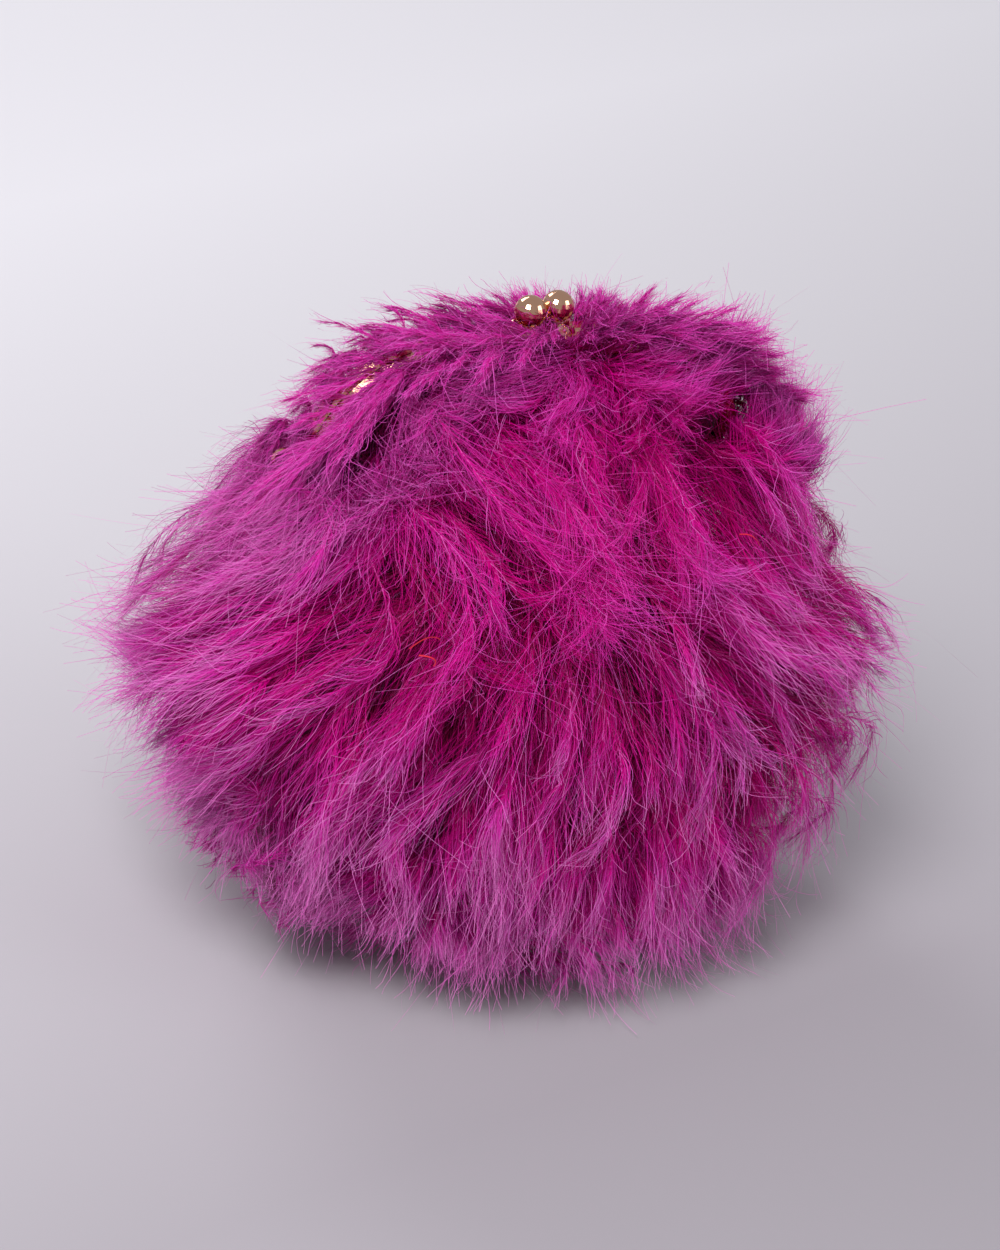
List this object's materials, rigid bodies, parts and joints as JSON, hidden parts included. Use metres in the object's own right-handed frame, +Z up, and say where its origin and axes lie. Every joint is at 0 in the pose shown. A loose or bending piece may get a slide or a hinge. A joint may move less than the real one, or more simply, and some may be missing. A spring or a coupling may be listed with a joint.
{
  "type": "feathered evening clutch",
  "caption": "Small soft evening bag covered in dyed marabou feathers, with an arched metal kiss-lock frame, ball clasp and standing chain eyes.",
  "frame": {"origin": "middle of the flat underside of the lowest feather row", "axes": "+X across the bag's width, -Y towards the front, +Z up to the ball clasp"},
  "size_m": [0.2576, 0.1598, 0.225],
  "materials": {
    "pale_gold": "polished pale gold plate",
    "paper": "twisted kraft paper",
    "satin": "duchesse satin",
    "felt": "needled felt",
    "marabou": "dyed marabou down"
  },
  "bodies": {
    "bag": {"rear_frame": "pale_gold", "front_shell_panel": "satin", "front_interlining": "felt", "front_lining_panel": "satin", "rear_clasp_stem": "pale_gold", "rear_clasp_ball": "pale_gold", "rear_paper_cord": "paper", "rear_shell_panel": "satin", "rear_interlining": "felt", "rear_lining_panel": "satin", "rear_marabou_row_7": "marabou", "rear_marabou_row_8": "marabou", "left_hinge_rivet": "pale_gold", "left_chain_eye": "pale_gold", "right_hinge_rivet": "pale_gold", "right_chain_eye": "pale_gold", "slip_pocket": "satin", "marabou_row_1": "marabou", "marabou_row_2": "marabou", "marabou_row_3": "marabou", "marabou_row_4": "marabou", "marabou_row_5": "marabou", "marabou_row_6": "marabou"},
    "front_half": {"front_frame": "pale_gold", "front_clasp_stem": "pale_gold", "front_clasp_ball": "pale_gold", "front_paper_cord": "paper", "front_marabou_row_7": "marabou", "front_marabou_row_8": "marabou"}
  },
  "joints": [
    {"name": "frame_hinge", "type": "hinge", "parent": "bag", "child": "front_half", "pos_m": [0, 0, 0.168], "axis": [1, 0, 0], "range_deg": [0, 75], "deforming": ["front_shell_panel", "front_interlining", "front_lining_panel", "front_marabou_row_7", "front_marabou_row_8"]}
  ]
}
